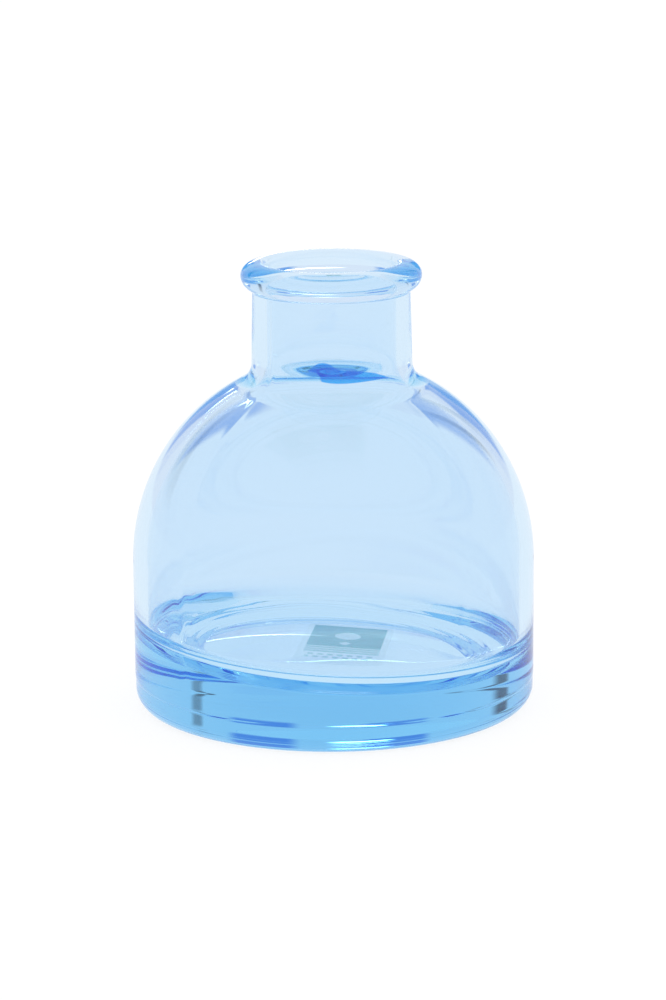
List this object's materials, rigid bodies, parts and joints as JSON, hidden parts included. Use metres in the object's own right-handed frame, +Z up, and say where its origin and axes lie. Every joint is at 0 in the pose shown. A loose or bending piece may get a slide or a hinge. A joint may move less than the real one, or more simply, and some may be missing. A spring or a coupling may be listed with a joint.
{
  "type": "reed diffuser bottle",
  "caption": "Dome-shaped reed diffuser bottle in pale blue glass, with a thick base, straight neck, beaded lip and a film label under it.",
  "frame": {"origin": "centre of the flat ring that the bottle stands on", "axes": "+Z up along the bottle's axis, out of its mouth; +Y towards the head of the label, +X to its right seen from above"},
  "size_m": [0.075, 0.075, 0.0837],
  "materials": {
    "blue_glass": "clear moulded soda-lime glass tinted pale blue, fire-polished, tint deepest where the glass is thick",
    "label_film": "clear self-adhesive film with a pale teal printed block and stripes"
  },
  "bodies": {
    "root": {"glass_bottle": "blue_glass", "base_label": "label_film"}
  },
  "joints": []
}
